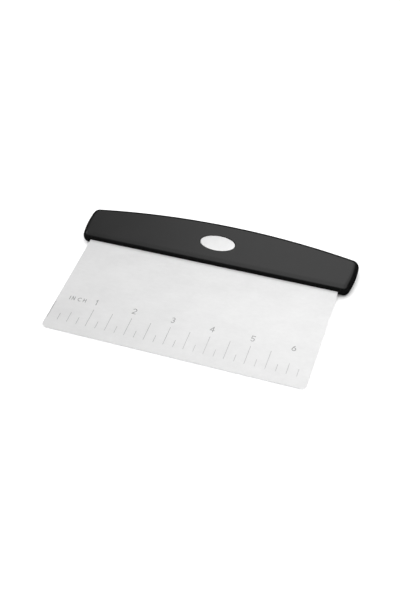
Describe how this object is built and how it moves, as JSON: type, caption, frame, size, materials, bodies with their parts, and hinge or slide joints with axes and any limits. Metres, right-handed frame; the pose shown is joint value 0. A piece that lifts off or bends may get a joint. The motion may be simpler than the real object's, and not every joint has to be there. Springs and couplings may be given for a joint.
{
  "type": "bench scraper",
  "caption": "Flat stainless bench scraper with an engraved inch scale and a black moulded grip bar with a blank oval badge.",
  "frame": {"origin": "under the middle of the whole outline, level with the flat back of the grip, with the tool lying scale side up", "axes": "+X along the scraping edge, +Y from the scraping edge to the grip, +Z out of the face with the scale"},
  "size_m": [0.1836, 0.1124, 0.009],
  "materials": {
    "stainless_sheet": "fine brushed stainless sheet, brushed along the scraping edge",
    "core_nylon": "glass-filled nylon, dark grey, hidden",
    "rivet_steel": "plain stainless rivet, hidden",
    "grip_elastomer": "satin black thermoplastic elastomer, smooth",
    "badge_steel": "light satin steel, blank",
    "adhesive_film": "double-sided adhesive film, hidden"
  },
  "bodies": {
    "root": {"blade": "stainless_sheet", "core_front": "core_nylon", "core_back": "core_nylon", "rivet_pins": "rivet_steel", "rivet_sleeves": "rivet_steel", "grip": "grip_elastomer", "badge": "badge_steel", "badge_adhesive": "adhesive_film"}
  },
  "joints": []
}
